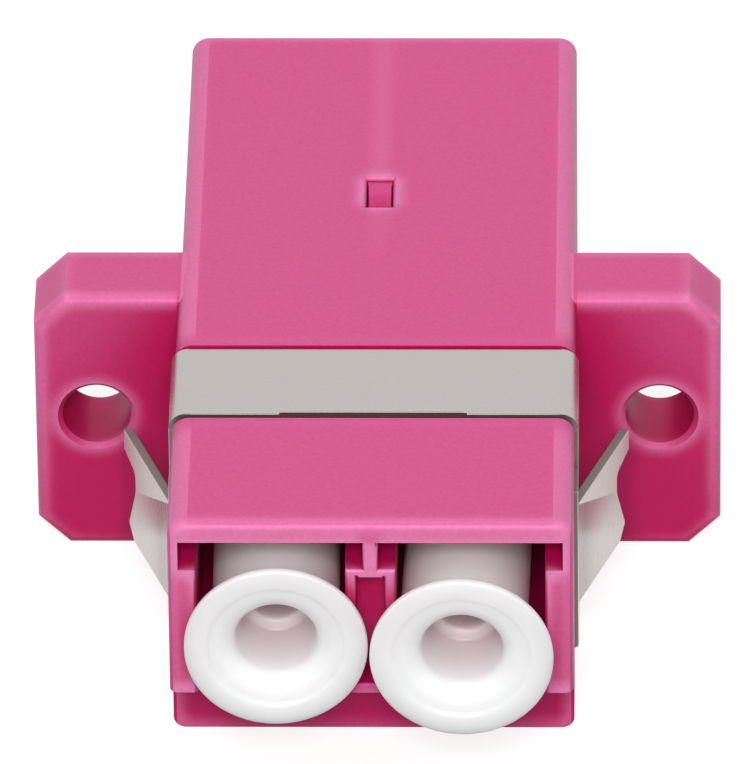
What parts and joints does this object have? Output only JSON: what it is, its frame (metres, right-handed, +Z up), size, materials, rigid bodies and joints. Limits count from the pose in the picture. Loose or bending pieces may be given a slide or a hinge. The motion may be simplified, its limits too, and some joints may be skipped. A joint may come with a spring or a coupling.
{
  "type": "lc fibre adapter",
  "caption": "Flanged fibre-optic adapter with side-by-side latching ports, alignment sleeves, a sprung steel panel clip and pull-out dust caps.",
  "frame": {"origin": "On the flange face that meets the panel, midway between the two fixing holes.", "axes": "+X across the two ports, +Y from the front ports to the rear ports, +Z up, away from the face the adapter rests on."},
  "size_m": [0.022, 0.0312, 0.0096],
  "materials": {
    "housing_plastic": "moulded glass-filled polyester, fine spark-eroded satin texture, magenta",
    "spring_steel": "rolled stainless spring strip, stamped and folded, faint grain along the strip",
    "zirconia": "ground and polished white zirconia",
    "cap_plastic": "soft white polyethylene, smooth moulded"
  },
  "bodies": {
    "adapter": {"housing": "housing_plastic", "sleeve_retainer": "housing_plastic", "panel_clip": "spring_steel", "split_sleeve_left": "zirconia", "split_sleeve_right": "zirconia"},
    "front_left_cap": {"dust_cap_front_left": "cap_plastic"},
    "front_right_cap": {"dust_cap_front_right": "cap_plastic"},
    "rear_left_cap": {"dust_cap_rear_left": "cap_plastic"},
    "rear_right_cap": {"dust_cap_rear_right": "cap_plastic"}
  },
  "joints": [
    {"name": "front_left_cap_pull", "type": "slide", "parent": "adapter", "child": "front_left_cap", "axis": [0, -1, 0], "range_m": [0, 0.015]},
    {"name": "front_right_cap_pull", "type": "slide", "parent": "adapter", "child": "front_right_cap", "axis": [0, -1, 0], "range_m": [-0.0005, 0.015]},
    {"name": "rear_left_cap_pull", "type": "slide", "parent": "adapter", "child": "rear_left_cap", "axis": [0, 1, 0], "range_m": [0, 0.015]},
    {"name": "rear_right_cap_pull", "type": "slide", "parent": "adapter", "child": "rear_right_cap", "axis": [0, 1, 0], "range_m": [0, 0.015]}
  ]
}
